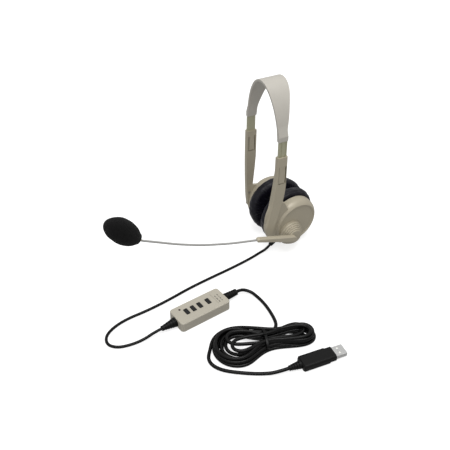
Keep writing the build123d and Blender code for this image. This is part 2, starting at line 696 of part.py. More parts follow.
LEAD_Z = SURFACE_Z + LEAD_D / 2
USB_Z = SURFACE_Z + USB_D / 2
lead_route = [
    GLAND_TIP,
    GLAND_TIP + GLAND_DIR * 6.5,
    (26.8, -42.5, LEAD_Z),
    (31.2, -58.5, LEAD_Z),
    (35.6, -84.0, LEAD_Z),
    (39.4, -112.0, LEAD_Z),
    (43.6, -139.0, LEAD_Z),
    (50.2, -167.0, LEAD_Z),
    (54.4, -193.0, LEAD_Z),
    (55.6, -213.0, LEAD_Z),
    (60.4, -229.5, LEAD_Z),
    (68.4, -240.6, LEAD_Z),
    (79.6, -243.2, LEAD_Z),
    (87.8, -235.6, LEAD_Z),
    (90.4, -222.5, LEAD_Z),
    (90.2, -209.0, LEAD_Z + 0.6),
    boot_out(-1, 8.5),
    boot_out(-1, 0),
]
usb_route = [
    boot_out(1, 0),
    boot_out(1, 5.5),
    (76.6, -87.9, USB_Z + 2.4),
    (81.5, -83.2, USB_Z + 0.8),
    (89.0, -80.9, USB_Z),
    (100.0, -79.6, USB_Z),
    (111.4, -80.2, USB_Z),
    (123.0, -81.6, USB_Z),
    (134.0, -84.2, USB_Z + 0.3),
    (144.0, -88.0, USB_Z + 1.0),
]
tail_route = [
    (130.6, -145.0, USB_Z + 0.4),
    (131.2, -155.6, USB_Z),
    (138.0, -165.2, USB_Z),
    (149.4, -166.4, USB_Z),
    (160.6, -158.6, USB_Z),
    (170.8, -144.4, USB_Z),
    (179.6, -130.4, USB_Z),
    (184.2, -121.0, USB_Z + 1.0),
    PLUG_START - PLUG_DIR * 8.0,
    PLUG_START,
]


def hank():
    """Outer shape of the tied hank: a broad lobe, a waist and a slim lobe."""
    broad = Pos(-27, 1.6, 0) * extrude(Ellipse(28.0, 24.5), 13.0)
    slim = Pos(25, 1.5, 0) * extrude(Ellipse(26.0, 15.5), 13.0)
    waist = Pos(0, 0.5, 7.2) * Rot(0, 90, 0) * extrude(Ellipse(7.2, 11.5), 16, both=True)
    lobes = [fillet(lobe.faces().sort_by(Axis.Z)[-1].edges(), 5.0) for lobe in (broad, slim)]
    return lobes[0] + lobes[1] + waist


def hank_tie():
    band = Pos(-2.0, 0.5, 8.6) * Rot(0, 90, 0) * extrude(Ellipse(8.4, 12.8), 2.2, both=True)
    return band - hank()


save("cord_gland", GLAND * gland)
save("headset_lead", tube("headset lead", lead_route, LEAD_D))
save("usb_lead", tube("usb lead", usb_route, USB_D) - HANK * hank())
save("usb_lead_hank", HANK * hank())
save("usb_lead_tail", tube("usb lead tail", tail_route, USB_D) - HANK * hank())
save("hank_tie", HANK * hank_tie())

# ---------------------------------------------------------------- USB plug
PLUG = Plane(origin=PLUG_START, x_dir=Vector(0, 0, 1).cross(PLUG_DIR), z_dir=PLUG_DIR)


def plug_box(width, height, low, high, radius):
    outline = RectangleRounded(width, height, radius)
    return Pos(0, 0, low) * extrude(outline, high - low)


BODY_L, BODY_W, BODY_H = PLUG_BODY
SHELL_L, SHELL_W, SHELL_H = USB_SHELL
BODY_LOW = PLUG_BOOT_L
BODY_HIGH = BODY_LOW + BODY_L
SHELL_ROOT = BODY_HIGH - 6.0
SHELL_TIP = BODY_HIGH + SHELL_L


def overmould():
    grip = plug_box(BODY_W, BODY_H, BODY_LOW, BODY_HIGH - 7, 2.6)
    grip = chamfer(grip.faces().sort_by(Axis.Z)[0].edges(), 1.2)
    collar = plug_box(BODY_W - 1.6, BODY_H - 0.8, BODY_HIGH - 7, BODY_HIGH, 2.2)
    return grip + collar - plug_box(SHELL_W, SHELL_H, SHELL_ROOT, BODY_HIGH + 1, 0.5)


def usb_shell():
    body = plug_box(SHELL_W, SHELL_H, SHELL_ROOT, SHELL_TIP, 0.5)
    inner_w, inner_h = SHELL_W - 2 * USB_SHELL_T, SHELL_H - 2 * USB_SHELL_T
    body -= plug_box(inner_w, inner_h, SHELL_ROOT - 1, SHELL_TIP + 1, 0.2)
    for x in (-2.9, 2.9):
        body -= block((x - 1.1, -5, SHELL_TIP - 7.4), (x + 1.1, 5, SHELL_TIP - 5.0))
    return body


def usb_tongue():
    half_w = SHELL_W / 2 - USB_SHELL_T - 0.1
    half_h = SHELL_H / 2 - USB_SHELL_T - 0.1
    body = block((-half_w, -half_h, SHELL_ROOT), (half_w, half_h, SHELL_ROOT + 3))
    return body + block((-half_w, 0.1, SHELL_ROOT + 3), (half_w, half_h, SHELL_TIP - 0.6))


def usb_contacts():
    spots = (-3.5, -1.0, 1.0, 3.5)
    low, high = SHELL_ROOT + 3, SHELL_TIP - 1.6
    return Compound([block((x - 0.5, -0.15, low), (x + 0.5, 0.1, high)) for x in spots])


save("plug_boot", PLUG * ribbed_boot(2.6, 4.0, PLUG_BOOT_L, 5))
save("plug_overmould", PLUG * overmould())
save("plug_shell", PLUG * usb_shell())
save("plug_tongue", PLUG * usb_tongue())
save("plug_contacts", PLUG * usb_contacts())

print(f"cup cover face centre {(CUP * Pos(0, 0, CUP_TOP)).position}")
print(f"boom pivot {TURRET.position}, axis {CUP_NORMAL}")
print(f"plug tip {to_world(PLUG, (0, 0, SHELL_TIP))}")
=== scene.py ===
import json
from math import atan2, cos, pi, radians, sin

import bmesh
import bpy
from mathutils import Matrix, Vector, noise


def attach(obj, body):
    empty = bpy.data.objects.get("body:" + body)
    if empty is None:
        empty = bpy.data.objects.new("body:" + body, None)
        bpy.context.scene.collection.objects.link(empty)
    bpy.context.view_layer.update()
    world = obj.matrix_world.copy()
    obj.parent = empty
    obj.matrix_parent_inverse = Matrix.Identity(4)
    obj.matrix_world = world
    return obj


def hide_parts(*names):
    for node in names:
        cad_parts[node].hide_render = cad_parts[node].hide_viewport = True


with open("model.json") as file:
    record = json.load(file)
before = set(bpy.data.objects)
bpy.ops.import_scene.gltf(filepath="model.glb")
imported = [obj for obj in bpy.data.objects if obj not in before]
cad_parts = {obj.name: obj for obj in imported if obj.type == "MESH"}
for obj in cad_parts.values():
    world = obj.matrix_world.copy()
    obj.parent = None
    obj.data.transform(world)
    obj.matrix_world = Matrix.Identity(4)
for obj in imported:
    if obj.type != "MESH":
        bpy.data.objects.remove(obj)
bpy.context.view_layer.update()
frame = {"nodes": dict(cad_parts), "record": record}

NODES = frame["nodes"]
MM = 0.001
SURFACE_Z = -0.033           # the surface that the pads rest on and the cord lies on, in metres

# ---------------------------------------------------------------- camera
CAMERA_AT = (0.5133, -0.3421, 0.4363)
CAMERA_AZIMUTH = 62.32
CAMERA_ELEVATION = 36.92
LENS_MM = 51.8


def add_camera():
    """The camera at the photograph's viewing angle."""
    data = bpy.data.cameras.new("camera")
    data.lens = LENS_MM
    data.sensor_width = 36.0
    data.clip_start = 0.01
    camera = bpy.data.objects.new("camera", data)
    camera.location = CAMERA_AT
    camera.rotation_euler = (radians(90 - CAMERA_ELEVATION), 0, radians(CAMERA_AZIMUTH))
    bpy.context.collection.objects.link(camera)
    bpy.context.scene.camera = camera


add_camera()


# ---------------------------------------------------------------- materials
def node_material(name):
    """A material with its principled shader, and short ways to add nodes to it."""
    material = bpy.data.materials.new(name)
    material.use_nodes = True
    tree = material.node_tree
    shader = tree.nodes["Principled BSDF"]
    coords = tree.nodes.new("ShaderNodeTexCoord")
    return material, tree, shader, coords.outputs["Object"]


def add_node(tree, kind, inputs=None, **settings):
    """A node with its inputs set to values or linked to sockets."""
    made = tree.nodes.new(kind)
    for key, value in settings.items():
        setattr(made, key, value)
    for key, value in (inputs or {}).items():
        if isinstance(value, bpy.types.NodeSocket):
            tree.links.new(value, made.inputs[key])
        else:
            made.inputs[key].default_value = value
    return made


def noise_at(tree, where, scale, detail=4.0, rough=0.55, stretch=None):
    if stretch:
        where = add_node(tree, "ShaderNodeMapping", {"Vector": where, "Scale": stretch}).outputs["Vector"]
    inputs = {"Vector": where, "Scale": scale, "Detail": detail, "Roughness": rough}
    return add_node(tree, "ShaderNodeTexNoise", inputs).outputs["Fac"]


def ramp(tree, factor, stops):
    """A colour ramp over (position, colour) stops."""
    made = add_node(tree, "ShaderNodeValToRGB", {"Fac": factor})
    elements = made.color_ramp.elements
    while len(elements) < len(stops):
        elements.new(0.5)
    for element, (place, colour) in zip(elements, stops):
        element.position = place
        element.color = (*colour, 1.0)
    return made.outputs["Color"]


def grey(value):
    return (value, value, value)


def shade(colour, factor):
    return tuple(min(1.0, c * factor) for c in colour)


def bump_chain(tree, shader, layers):
    """Bump layers of (height socket, distance in metres, strength), each on top of the last."""
    normal = None
    for height, distance, strength in layers:
        inputs = {"Height": height, "Distance": distance, "Strength": strength}
        if normal:
            inputs["Normal"] = normal
        normal = add_node(tree, "ShaderNodeBump", inputs).outputs["Normal"]
    tree.links.new(normal, shader.inputs["Normal"])


def plastic(name, colour, rough=0.42, metal=0.0, shine=0.5):
    """Moulded plastic: fine spark-eroded grain, slow colour drift, and handled patches that shine more."""
    material, tree, shader, where = node_material(name)
    drift = noise_at(tree, where, 38.0, 3.0)
    fleck = noise_at(tree, where, 5200.0, 2.0)
    mixed = add_node(tree, "ShaderNodeMath", {0: drift, 1: fleck}, operation="ADD").outputs[0]
    half = add_node(tree, "ShaderNodeMath", {0: mixed, 1: 0.5}, operation="MULTIPLY").outputs[0]
    tone = ramp(tree, half, [(0.30, shade(colour, 0.94)), (0.52, colour), (0.75, shade(colour, 1.06))])
    tree.links.new(tone, shader.inputs["Base Color"])
    rub = ramp(tree, noise_at(tree, where, 90.0, 5.0), [(0.3, grey(rough - 0.07)), (0.7, grey(rough + 0.08))])
    tree.links.new(rub, shader.inputs["Roughness"])
    shader.inputs["Metallic"].default_value = metal
    shader.inputs["Specular IOR Level"].default_value = shine
    bump_chain(tree, shader, [
        (noise_at(tree, where, 9000.0, 2.0), 0.00002, 0.5),
        (noise_at(tree, where, 160.0, 2.0), 0.0001, 0.15),
    ])
    return material


def steel(name, colour, rough, along):
    """Drawn or brushed metal with fine scratches along one direction."""
    material, tree, shader, where = node_material(name)
    lines = noise_at(tree, where, 1.0, 3.0, 0.6, stretch=along)
    cloud = noise_at(tree, where, 120.0, 4.0)
    tone = ramp(tree, lines, [(0.3, shade(colour, 0.88)), (0.7, shade(colour, 1.08))])
    tree.links.new(tone, shader.inputs["Base Color"])
    blur = ramp(tree, cloud, [(0.3, grey(rough - 0.08)), (0.7, grey(rough + 0.12))])
    tree.links.new(blur, shader.inputs["Roughness"])
    shader.inputs["Metallic"].default_value = 1.0
    bump_chain(tree, shader, [(lines, 0.00002, 0.4), (cloud, 0.00005, 0.15)])
    return material


def leatherette(name, colour):
    """Thin coated fabric: pebbled grain, creases and a soft sheen; the creases also carry painted shade in
    their hollows and a painted highlight on their crests.
    """
    material, tree, shader, where = node_material(name)
    pebble = add_node(tree, "ShaderNodeTexVoronoi", {"Vector": where, "Scale": 1500.0, "Randomness": 1.0})
    cells = ramp(tree, pebble.outputs["Distance"], [(0.1, grey(1.0)), (0.55, grey(0.1))])
    creases = noise_at(tree, where, 330.0, 6.0, 0.65)
    # painted shade and highlight: the colour darkens to 0.6 in the creases' hollows and lightens to 1.9 on
    # their crests
    tone = ramp(tree, creases, [(0.3, shade(colour, 0.6)), (0.55, colour), (0.75, shade(colour, 1.9))])
    tree.links.new(tone, shader.inputs["Base Color"])
    worn = ramp(tree, noise_at(tree, where, 150.0, 4.0), [(0.3, grey(0.30)), (0.7, grey(0.48))])
    tree.links.new(worn, shader.inputs["Roughness"])
    shader.inputs["Sheen Weight"].default_value = 0.05
    shader.inputs["Sheen Tint"].default_value = (0.35, 0.32, 0.75, 1.0)
    shader.inputs["Sheen Roughness"].default_value = 0.3
    shader.inputs["Specular IOR Level"].default_value = 0.3
    bump_chain(tree, shader, [(creases, 0.0004, 0.8), (cells, 0.00008, 0.5)])
    return material


def foam(name, colour):
    """Open-cell foam: painted shade darkens the pores between lighter struts."""
    material, tree, shader, where = node_material(name)
    pores = add_node(tree, "ShaderNodeTexVoronoi", {"Vector": where, "Scale": 1400.0, "Randomness": 1.0})
    holes = ramp(tree, pores.outputs["Distance"], [(0.15, grey(0.0)), (0.6, grey(1.0))])
    # painted shade: the colour darkens towards the middle of each pore, where shade falls in the hole, and
    # lightens on the struts
    stops = [(0.1, shade(colour, 0.3)), (0.5, colour), (0.8, shade(colour, 2.2))]
    tone = ramp(tree, pores.outputs["Distance"], stops)
    tree.links.new(tone, shader.inputs["Base Color"])
    fuzz = noise_at(tree, where, 2600.0, 3.0)
    dull = ramp(tree, fuzz, [(0.3, grey(0.85)), (0.7, grey(0.98))])
    tree.links.new(dull, shader.inputs["Roughness"])
    shader.inputs["Sheen Weight"].default_value = 0.05
    shader.inputs["Sheen Roughness"].default_value = 0.6
    shader.inputs["Specular IOR Level"].default_value = 0.1
    bump_chain(tree, shader, [(holes, 0.0004, 0.8), (fuzz, 0.0001, 0.4)])
    return material


RIB_SCALE = 2600.0 / 6


def cloth(name, colour):
    """Close knit: two crossed sets of ribs with a little fuzz, with painted shade between the ribs and a
    painted highlight on their crests.
    """
    material, tree, shader, where = node_material(name)
    ribs = []
    for direction in ("X", "Z"):
        wave = add_node(tree, "ShaderNodeTexWave", {"Vector": where, "Scale": RIB_SCALE, "Distortion": 1.0},
                        bands_direction=direction)
        ribs.append(wave.outputs["Fac"])
    weave = add_node(tree, "ShaderNodeMath", {0: ribs[0], 1: ribs[1]}, operation="MULTIPLY").outputs[0]
    # painted shade and highlight: the colour darkens in the grooves between the ribs and lightens on their
    # crests
    tone = ramp(tree, weave, [(0.1, shade(colour, 0.4)), (0.9, shade(colour, 1.8))])
    tree.links.new(tone, shader.inputs["Base Color"])
    fuzz = noise_at(tree, where, 3000.0, 3.0)
    tree.links.new(ramp(tree, fuzz, [(0.3, grey(0.8)), (0.7, grey(0.95))]), shader.inputs["Roughness"])
    shader.inputs["Sheen Weight"].default_value = 0.05
    shader.inputs["Specular IOR Level"].default_value = 0.2
    bump_chain(tree, shader, [(weave, 0.0002, 0.7), (fuzz, 0.0001, 0.3)])
    return material


def sheath(name, colour, rough):
    """Extruded vinyl: glossy, slightly wavy, with dust and handling marks."""
    material, tree, shader, where = node_material(name)
    dust = noise_at(tree, where, 700.0, 6.0, 0.7)
    tone = ramp(tree, dust, [(0.4, colour), (0.62, shade(colour, 1.35)), (0.75, shade(colour, 2.2))])
    tree.links.new(tone, shader.inputs["Base Color"])
    marks = noise_at(tree, where, 180.0, 5.0)
    blur = ramp(tree, marks, [(0.3, grey(rough - 0.08)), (0.7, grey(rough + 0.16))])
    tree.links.new(blur, shader.inputs["Roughness"])
    shader.inputs["Specular IOR Level"].default_value = 0.2
    bump_chain(tree, shader, [(marks, 0.0002, 0.2), (noise_at(tree, where, 4000.0, 2.0), 0.00002, 0.3)])
    return material


SILVER = (0.425, 0.382, 0.290)
MATERIALS = {
    "arm_plastic": plastic("arm_plastic", SILVER, 0.40, metal=0.10),
    "band_plastic": plastic("band_plastic", (0.50, 0.475, 0.425), 0.42, metal=0.05),
    "strip_steel": plastic("strip_steel", (0.44, 0.43, 0.30), 0.36, metal=0.25),
    "screw_steel": steel("screw_steel", (0.42, 0.42, 0.42), 0.3, (1500.0, 1500.0, 1500.0)),
    "cushion_skin": leatherette("cushion_skin", (0.0045, 0.004, 0.009)),
    "ear_foam": cloth("ear_foam", (0.008, 0.008, 0.012)),
    "mic_foam": foam("mic_foam", (0.003, 0.003, 0.003)),
    "magnet": steel("magnet", (0.30, 0.30, 0.31), 0.4, (800.0, 800.0, 800.0)),
    "diaphragm_film": plastic("diaphragm_film", (0.45, 0.42, 0.34), 0.3),
    "black_plastic": plastic("black_plastic", (0.012, 0.012, 0.012), 0.5, shine=0.3),
    "boom_plastic": plastic("boom_plastic", shade(SILVER, 1.05), 0.40, metal=0.05),
    "wire_sleeve": plastic("wire_sleeve", (0.40, 0.395, 0.38), 0.34, metal=0.3),
    "capsule_metal": steel("capsule_metal", (0.65, 0.65, 0.66), 0.3, (900.0, 900.0, 900.0)),
    "case_plastic": plastic("case_plastic", (0.435, 0.405, 0.335), 0.45),
    "button_rubber": plastic("button_rubber", (0.010, 0.010, 0.010), 0.6, shine=0.3),
    "board_green": plastic("board_green", (0.02, 0.12, 0.05), 0.35),
    "chip_black": plastic("chip_black", (0.02, 0.02, 0.02), 0.5),
    "light_lens": plastic("light_lens", (0.04, 0.02, 0.02), 0.2),
    "cord_sheath": sheath("cord_sheath", (0.003, 0.003, 0.003), 0.27),
    "moulded_black": sheath("moulded_black", (0.003, 0.003, 0.003), 0.36),
    "plug_steel": steel("plug_steel", (0.72, 0.72, 0.71), 0.22, (60.0, 2500.0, 60.0)),
    "plug_insert": plastic("plug_insert", (0.80, 0.80, 0.76), 0.4),
    "contact_gold": steel("contact_gold", (0.80, 0.60, 0.22), 0.25, (900.0, 900.0, 900.0)),
}
SLOT_OF = {part["node"]: part["material_slot"] for part in frame["record"]["subparts"]}


def dress_cad_nodes():
    """Every carried-over CAD node gets its slot's material on all its faces."""
    for name, shown in NODES.items():
        shown.data.materials.clear()
        shown.data.materials.append(MATERIALS[SLOT_OF[name]])


dress_cad_nodes()


# ---------------------------------------------------------------- mesh helpers
def mesh_object(name, bm, slot, smooth=True):
    """A linked object from a bmesh, with its slot's material."""
    mesh = bpy.data.meshes.new(name)
    bmesh.ops.recalc_face_normals(bm, faces=bm.faces)
    bm.to_mesh(mesh)
    bm.free()
    for face in mesh.polygons:
        face.use_smooth = smooth
    made = bpy.data.objects.new(name, mesh)
    mesh.materials.append(MATERIALS[slot])
    bpy.context.collection.objects.link(made)
    return made


def nurbs_cord(name, points, diameter, slot):
    """A round cord along a NURBS spline with these control points, in millimetres."""
    curve = bpy.data.curves.new(name, "CURVE")
    curve.dimensions = "3D"
    spline = curve.splines.new("NURBS")
    spline.points.add(len(points) - 1)
    for control, place in zip(spline.points, points):
        control.co = (*(Vector(place) * MM), 1.0)
    spline.order_u = 3
    spline.use_endpoint_u = True
    spline.resolution_u = 6
    curve.bevel_depth = diameter * MM / 2
    curve.bevel_resolution = 4
    curve.use_fill_caps = True
    curve.materials.append(MATERIALS[slot])
    made = bpy.data.objects.new(name, curve)
    bpy.context.collection.objects.link(made)
    return made


# ---------------------------------------------------------------- cords
LEAD_D = 3.0
USB_D = 3.5
LEAD_Z = SURFACE_Z / MM + LEAD_D / 2
USB_Z = SURFACE_Z / MM + USB_D / 2
GLAND_DIR = Vector((0, -0.72, -0.69)).normalized()
GLAND_TIP = Vector((25.5, -21.7, -19.7)) + GLAND_DIR * 9.0

BOX_AT = Vector((81.8, -144.3, SURFACE_Z / MM))
BOX_U = Vector((cos(radians(98.0)), sin(radians(98.0)), 0))
BOX_L = 58.7
BOX_H = 11.2
BOOT_L = 16.0


def boot_out(end, distance):
    """A point on a control box boot's axis, beyond its tip; end is -1 or 1."""
    return BOX_AT + BOX_U * end * (BOX_L / 2 + BOOT_L + distance) + Vector((0, 0, BOX_H / 2))


LEAD_ROUTE = [
    GLAND_TIP,
    GLAND_TIP + GLAND_DIR * 6.5,
    (26.8, -42.5, LEAD_Z),
    (31.2, -58.5, LEAD_Z),
    (35.6, -84.0, LEAD_Z),
    (39.4, -112.0, LEAD_Z),
    (43.6, -139.0, LEAD_Z),
    (50.2, -167.0, LEAD_Z),
    (54.4, -193.0, LEAD_Z),
    (55.6, -213.0, LEAD_Z),
    (60.4, -229.5, LEAD_Z),
    (68.4, -240.6, LEAD_Z),
    (79.6, -243.2, LEAD_Z),
    (87.8, -235.6, LEAD_Z),
    (90.4, -222.5, LEAD_Z),
    (90.2, -209.0, LEAD_Z + 0.6),
    boot_out(-1, 8.5),
    boot_out(-1, 0),
]
USB_ROUTE = [
    boot_out(1, 0),
    boot_out(1, 5.5),
    (76.6, -87.9, USB_Z + 2.4),
    (81.5, -83.2, USB_Z + 0.8),
    (89.0, -80.9, USB_Z),
    (100.0, -79.6, USB_Z),
    (111.4, -80.2, USB_Z),
    (123.0, -81.6, USB_Z),
    (134.0, -84.2, USB_Z + 0.3),
]
PLUG_DIR = Vector((cos(radians(85.0)), sin(radians(85.0)), 0))
PLUG_START = Vector((187.6, -104.2, SURFACE_Z / MM + 4.0))
TAIL_ROUTE = [
    (131.2, -155.6, USB_Z),
    (138.0, -165.2, USB_Z),
    (149.4, -166.4, USB_Z),
    (160.6, -158.6, USB_Z),
    (170.8, -144.4, USB_Z),
    (179.6, -130.4, USB_Z),
    (184.2, -121.0, USB_Z + 1.0),
    PLUG_START - PLUG_DIR * 8.0,
    PLUG_START,
]

# The hank: turns about a broad lobe at one end and a slim lobe at the other, pinched
# in the middle.  Its own directions are x along its length and y across it.
HANK_AT = Vector((148.5, -105.0, SURFACE_Z / MM))
HANK_X = Vector((cos(radians(76.4)), sin(radians(76.4)), 0))
HANK_Y = Vector((-HANK_X.y, HANK_X.x, 0))
HANK_TURNS = 9


def hank_point(x, y, z):
    """A point given along, across and above the hank, in millimetres."""
    return HANK_AT + HANK_X * x + HANK_Y * y + Vector((0, 0, z))


def mix(a, b, t):
    return a + (b - a) * t


def ease(t):
    """A smooth step from 0 to 1."""
    t = max(0.0, min(1.0, t))
    return t * t * (3 - 2 * t)


def steps(turn, values):
    """A value for each whole turn, joined by smooth steps."""
    low = int(turn)
    high = min(low + 1, len(values) - 1)
    return mix(values[min(low, len(values) - 1)], values[high], ease(turn - low))


# One value for each turn, in the order they are wound: radius, centre along and across, and height
# of the broad lobe; radius, end, fan angle in degrees and height of the slim lobe; and half width
# and height at the waist.
BROAD_R = (24.0, 20.4, 16.8, 22.4, 18.8, 13.6, 9.6, 20.8, 9.4)
BROAD_X = (-29.5, -29.5, -29.0, -30.5, -28.0, -29.0, -31.0, -31.0, -29.0)
BROAD_Y = (0.0, 0.0, 0.0, 0.0, 0.0, 0.0, 6.0, 0.0, -6.0)
BROAD_Z = (1.75, 1.75, 1.75, 5.2, 5.2, 5.2, 9.8, 8.6, 11.6)
SLIM_R = (12.8, 10.4, 8.6, 11.2, 9.2, 8.4, 10.0, 8.6, 8.8)
SLIM_END = (50.0, 46.0, 41.5, 49.5, 44.5, 37.5, 47.5, 41.0, 45.0)
SLIM_TURN = (0.0, -1.0, -5.0, 4.0, -5.0, 5.0, -5.0, 7.0, -4.0)
SLIM_Z = (1.75, 1.75, 1.75, 5.2, 5.2, 5.2, 8.6, 8.6, 11.4, 8.6)
WAIST_Y = (10.4, 6.8, 3.2, 9.2, 5.6, 2.0, 7.6, 4.0, 1.9, 6.0)     # the last is where the cord leaves
WAIST_Z = (1.75, 1.75, 1.75, 5.2, 5.2, 5.2, 8.6, 8.6, 11.6, 8.7)
WAIST_X = -2.0


def hank_turns():
    """Control points of the turns, from the waist round the broad lobe, back, and round the slim one."""
    points = []
    for turn in range(HANK_TURNS):
        broad = (BROAD_R[turn], BROAD_X[turn], BROAD_Z[turn])
        for side in (1, -1):
            points += broad_half(turn, side, broad, BROAD_Y[turn])
        points += slim_half(turn)
    return points


def strand(turn, side, lobe, shift, reach):
    """A point between the waist and the broad lobe, where reach runs from 0 to 1."""
    radius, centre, height = lobe
    share = ease(reach)
    y = side * mix(steps(turn, WAIST_Y), radius, share) + shift * share
    z = mix(steps(turn, WAIST_Z), height, share)
    return hank_point(mix(WAIST_X, centre, reach), y, z)


def broad_half(turn, side, lobe, shift):
    """Half of a turn about the broad lobe: out from the waist for side 1, back to it for side -1."""
    radius, centre, height = lobe
    points = []
    whole = turn if side > 0 else turn + 0.5
    for reach in (0.0, 0.5) if side > 0 else ():
        points.append(strand(whole, side, lobe, shift, reach))
    arc = (75, 105, 135, 165) if side > 0 else (195, 225, 255, 285)
    for angle in arc:
        a = radians(angle)
        points.append(hank_point(centre + radius * cos(a), shift + radius * sin(a), height))
    for reach in () if side > 0 else (0.5, 0.0):
        points.append(strand(whole, side, lobe, shift, reach))
    return points


def slim_half(turn):
    """The part of a turn that goes round the slim lobe and back to the waist."""
    late = turn + 0.75
    radius = SLIM_R[turn]
    centre = SLIM_END[turn] - radius
    height = SLIM_Z[turn]
    fan = radians(SLIM_TURN[turn])
    points = []

    def fanned(x, y, z, share):
        a = fan * share
        return hank_point(x * cos(a) - y * sin(a), x * sin(a) + y * cos(a), z)

    for reach in (0.35, 0.7):
        x = mix(WAIST_X, centre, reach)
        y = mix(steps(late, WAIST_Y), radius, ease(reach))
        z = mix(steps(late, WAIST_Z), height, ease(reach))
        points.append(fanned(x, -y, z, reach))
    for angle in (-75, -40, 0, 40, 75):
        a = radians(angle)
        points.append(fanned(centre + radius * cos(a), radius * sin(a), height, 1.0))
    after = turn + 1.0
    for reach in (0.7, 0.35):
        x = mix(WAIST_X, centre, reach)
        y = mix(steps(after, WAIST_Y), radius, ease(reach))
        z = mix(steps(after, WAIST_Z), height, ease(reach))
        points.append(fanned(x, y, z, reach))
    return points


LEAD_IN = [hank_point(16.0, 14.5, 2.2), hank_point(8.0, 11.8, 2.2)]
LEAD_OUT = [
    hank_point(WAIST_X, 9.5, 11.6),
    hank_point(-14.0, 16.0, 9.5),
    hank_point(-26.0, 24.5, 4.6),
    hank_point(-38.0, 25.6, 1.9),
    hank_point(-48.0, 19.5, 1.75),
    hank_point(-54.5, 10.5, 1.75),
]


def evened(points, spacing, rounds):
    """The same route through evenly spaced points, with its sharp corners rounded off."""
    walk = [points[0]]
    left = spacing
    for start, end in zip(points, points[1:]):
        run = (end - start).length
        done = 0.0
        while run - done >= left:
            done += left
            walk.append(start.lerp(end, done / run))
            left = spacing
        left -= run - done
    if left < spacing / 2:
        walk.append(points[-1])
    else:
        walk[-1] = points[-1]
    for _ in range(rounds):
        rounded = [(p + q * 2 + r) / 4 for p, q, r in zip(walk, walk[1:], walk[2:])]
        walk = [walk[0], *rounded, walk[-1]]
    return walk


usb_route = [Vector(p) for p in USB_ROUTE + LEAD_IN + hank_turns() + LEAD_OUT + TAIL_ROUTE]
usb_points = usb_route[:3] + evened(usb_route[3:-2], 5.0, 3) + usb_route[-2:]
lead = nurbs_cord("headset_cord", LEAD_ROUTE, LEAD_D, "cord_sheath")
usb = nurbs_cord("usb_cord", usb_points, USB_D, "cord_sheath")
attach(lead, "left_side")
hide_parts("headset_lead")
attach(usb, "left_side")
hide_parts("usb_lead", "usb_lead_hank", "usb_lead_tail")


# ---------------------------------------------------------------- soft pieces
CUP_TILT = 4.0
CUP_YAW = 4.6
PAD_FACE_X = 4.0
PAD_R = 34.0
PAD_T = 13.8
PAD_HOLE_R = 12.5
FOAM_RECESS = 3.5


def cup_placement(side):
    """Local x back, y up, z out of the head along a cup's axis, in metres; side is 1 left or -1 right."""
    normal = Vector((
        cos(radians(CUP_TILT)) * cos(radians(CUP_YAW)),
        sin(radians(CUP_YAW)),
        -sin(radians(CUP_TILT)),
    )).normalized()
    across = Vector((0, 0, 1)).cross(normal).normalized()
    up = normal.cross(across)
    flip = Matrix.Diagonal((side, 1, 1))
    turn = flip @ Matrix((across, up, normal)).transposed()
    return Matrix.Translation((side * PAD_FACE_X * MM, 0, 0)) @ turn.to_4x4()


def along_axis(start, direction, twist=(0, 0, 1)):
    """Placement whose z runs along a direction, from a start in millimetres."""
    z = Vector(direction).normalized()
    x = Vector(twist).cross(z).normalized()
    turn = Matrix((x, z.cross(x), z)).transposed()
    return Matrix.Translation(Vector(start) * MM) @ turn.to_4x4()


def spun(outline, around, closed):
    """A mesh of revolution about local z from (radius, height) points in millimetres."""
    bm = bmesh.new()
    rings = []
    for radius, height in outline:
        if radius < 1e-6:
            rings.append([bm.verts.new((0, 0, height * MM))])
            continue
        spots = [2 * pi * i / around for i in range(around)]
        rings.append([bm.verts.new((radius * MM * cos(a), radius * MM * sin(a), height * MM)) for a in spots])
    pairs = list(zip(rings, rings[1:]))
    if closed:
        pairs.append((rings[-1], rings[0]))
    for low, high in pairs:
        for i in range(around):
            j = (i + 1) % around
            corners = [low[i % len(low)], low[j % len(low)], high[j % len(high)], high[i % len(high)]]
            bm.faces.new(list(dict.fromkeys(corners)))
    return bm


def arc_points(centre, radii, start, end, count):
    """Points on an ellipse's arc, in degrees."""
    turns = [radians(mix(start, end, i / (count - 1))) for i in range(count)]
    return [(centre[0] + radii[0] * cos(a), centre[1] + radii[1] * sin(a)) for a in turns]


# millimetres
PUFF_START = 0.6             # how much smaller the slack cover is, all round
PUFF_CAP = 1.6               # how far the air may move any point
PUFF_VOXEL = 1.3
PUFF_FRAMES = 20
GATHERS = 54                 # pleats round the hole
GATHER_DEPTH = 0.6
SEAM_HEIGHT = 11.2           # of the seam round the rim, from the pad's face
SEAM_DEPTH = 0.55


def cushion_blank():
    """Slack ring pad before it is filled with air: round shoulders, flat seat on the baffle."""
    outer = PAD_R - PUFF_START
    inner = PAD_HOLE_R + 0.3
    outline = [(inner + 1.0, PAD_T - 0.1), (outer - 1.8, PAD_T - 0.1)]
    outline += arc_points((outer - 4.6, 9.2), (4.6, 4.2), 60, 0, 6)
    outline += arc_points((outer - 5.6, 6.0), (5.6, 6.0 - PUFF_START), 0, -90, 9)
    outline += arc_points((inner + 4.5, 5.6), (4.5, 5.6 - PUFF_START), -90, -180, 8)
    outline += [(inner + 0.1, 10.0)]
    return spun(outline, 120, True)


